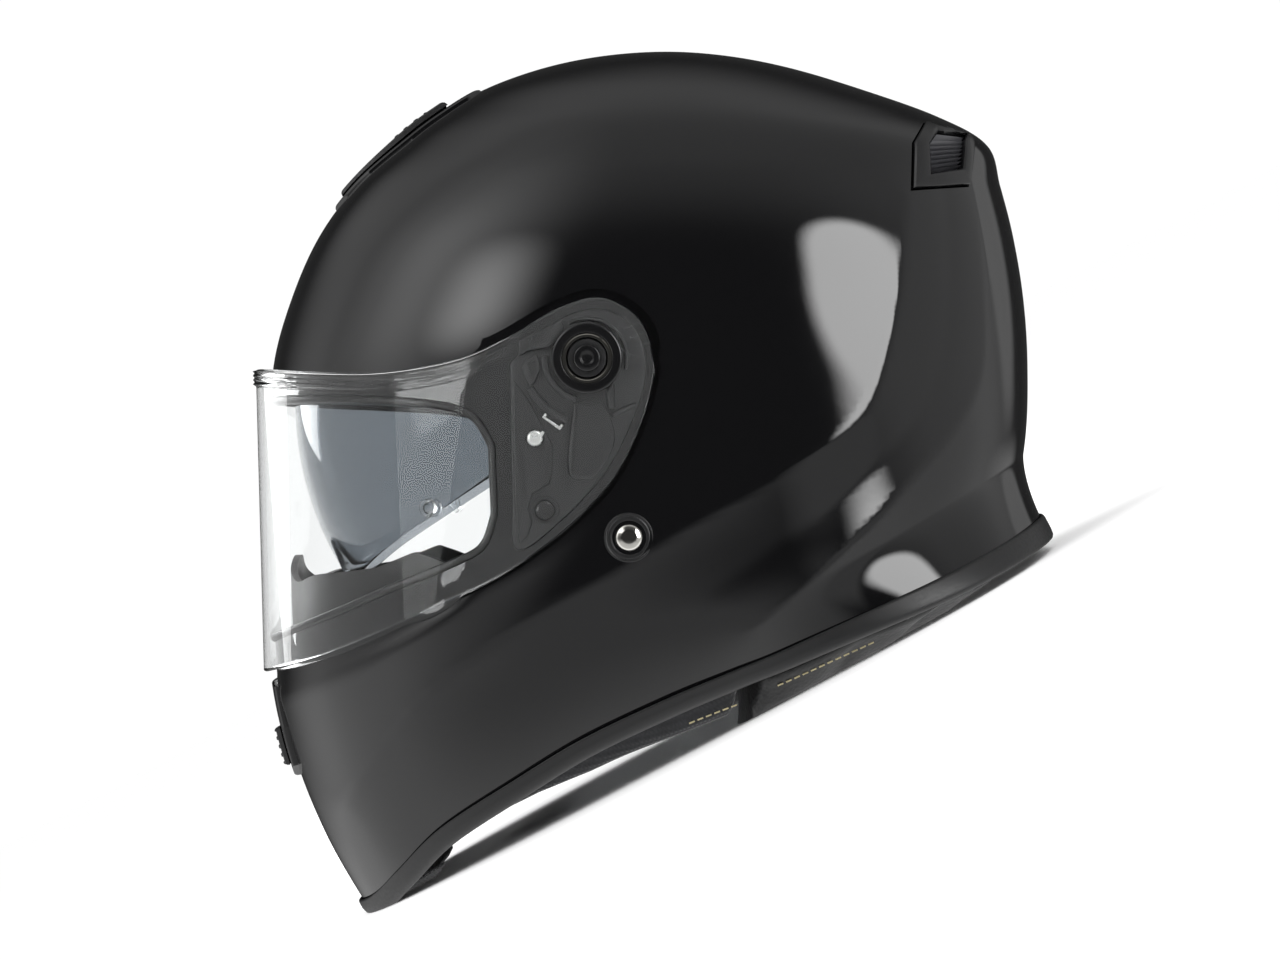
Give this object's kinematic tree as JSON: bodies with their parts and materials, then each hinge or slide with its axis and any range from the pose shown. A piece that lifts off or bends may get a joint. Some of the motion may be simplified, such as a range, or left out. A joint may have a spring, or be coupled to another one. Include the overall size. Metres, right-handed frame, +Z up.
{
  "type": "motorcycle helmet",
  "caption": "Full-face motorcycle helmet with a hinged clear visor, an inner sun visor, sliding vents, a padded liner and a chin strap with a quick-release buckle.",
  "frame": {"origin": "middle of the footprint, on the surface the helmet stands on", "axes": "+Z up; +Y towards the back of the helmet, its length; +X towards the wearer's left"},
  "size_m": [0.258, 0.358, 0.2672],
  "materials": {
    "gloss_paint": "deep gloss black paint",
    "matt_black": "satin black moulding",
    "black_rubber": "satin",
    "foam": "black expanded foam",
    "lining": "knitted polyester and leatherette",
    "webbing": "woven polyester webbing",
    "clear_glazing": "clear, polished",
    "smoke_glazing": "smoke tint, polished",
    "steel": "polished"
  },
  "bodies": {
    "helmet": {"base_screw_lower_left": "steel", "base_screw_lower_right": "steel", "base_screw_upper_left": "steel", "base_screw_upper_right": "steel", "breath_deflector": "black_rubber", "buckle_body": "matt_black", "buckle_tongue": "steel", "cheek_pad_left": "lining", "cheek_pad_right": "lining", "chin_curtain": "lining", "chin_vent_housing": "gloss_paint", "crown_pad": "lining", "crown_vent_housing": "gloss_paint", "detent_spring_left": "steel", "detent_spring_right": "steel", "edge_trim": "black_rubber", "eps_chin": "foam", "eps_liner": "foam", "eyeport_gasket": "black_rubber", "lever_pin_left": "steel", "lever_pin_right": "steel", "neck_roll": "lining", "outer_shell": "gloss_paint", "pivot_base_left": "matt_black", "pivot_base_right": "matt_black", "pivot_cap_left": "matt_black", "pivot_cap_right": "matt_black", "rear_vent_bezel_left": "gloss_paint", "rear_vent_bezel_right": "gloss_paint", "rear_vent_grille_left": "matt_black", "rear_vent_grille_right": "matt_black", "rivet_ring_left": "black_rubber", "rivet_ring_right": "black_rubber", "strap_anchor_left": "steel", "strap_anchor_right": "steel", "strap_left": "webbing", "strap_right": "webbing", "strap_rivet_left": "steel", "strap_rivet_right": "steel", "sun_cable": "matt_black", "sun_carrier_left": "matt_black", "sun_carrier_right": "matt_black", "sun_slide_rail": "matt_black"},
    "visor": {"visor": "clear_glazing", "visor_hub_left": "steel", "visor_hub_right": "steel", "antifog_pin_left": "clear_glazing", "antifog_pin_right": "clear_glazing"},
    "sun_visor": {"sun_visor": "smoke_glazing"},
    "sun_slide": {"sun_slide_knob": "matt_black"},
    "chin_shutter": {"chin_vent_shutter": "matt_black"},
    "crown_slider": {"crown_vent_slider": "matt_black"},
    "release_left": {"release_lever_left": "matt_black"},
    "release_right": {"release_lever_right": "matt_black"},
    "buckle_lever": {"buckle_lever": "matt_black"}
  },
  "joints": [
    {"name": "visor_hinge", "type": "hinge", "parent": "helmet", "child": "visor", "pos_m": [0, 0.001, 0.1485], "axis": [-1, 0, 0], "range_deg": [0, 55]},
    {"name": "sun_visor_hinge", "type": "hinge", "parent": "helmet", "child": "sun_visor", "pos_m": [0, -0.00021, 0.13158], "axis": [-1, 0, 0], "range_deg": [0, 44]},
    {"name": "sun_slide", "type": "slide", "parent": "helmet", "child": "sun_slide", "axis": [0, 0.8821, -0.471], "range_m": [0, 0.014]},
    {"name": "chin_vent_slide", "type": "slide", "parent": "helmet", "child": "chin_shutter", "axis": [0, 0.243, 0.97], "range_m": [0, 0.008]},
    {"name": "crown_vent_slide", "type": "slide", "parent": "helmet", "child": "crown_slider", "axis": [0, 0.9628, 0.2703], "range_m": [0, 0.006]},
    {"name": "release_left", "type": "hinge", "parent": "helmet", "child": "release_left", "pos_m": [0, -0.0098, 0.12933], "axis": [-1, 0, 0], "range_deg": [0, 12], "stiffness_Nm_per_rad": 0.05},
    {"name": "release_right", "type": "hinge", "parent": "helmet", "child": "release_right", "pos_m": [0, -0.0098, 0.12933], "axis": [-1, 0, 0], "range_deg": [0, 12], "stiffness_Nm_per_rad": 0.05},
    {"name": "buckle_lever_hinge", "type": "hinge", "parent": "helmet", "child": "buckle_lever", "pos_m": [0.013, -0.10819, 0.02893], "axis": [0, -0.8821, 0.471], "range_deg": [0, 40], "stiffness_Nm_per_rad": 0.05}
  ],
  "couplings": [
    {"joint": "sun_slide", "follows": "sun_visor_hinge", "m_per_rad": 0.01822}
  ]
}
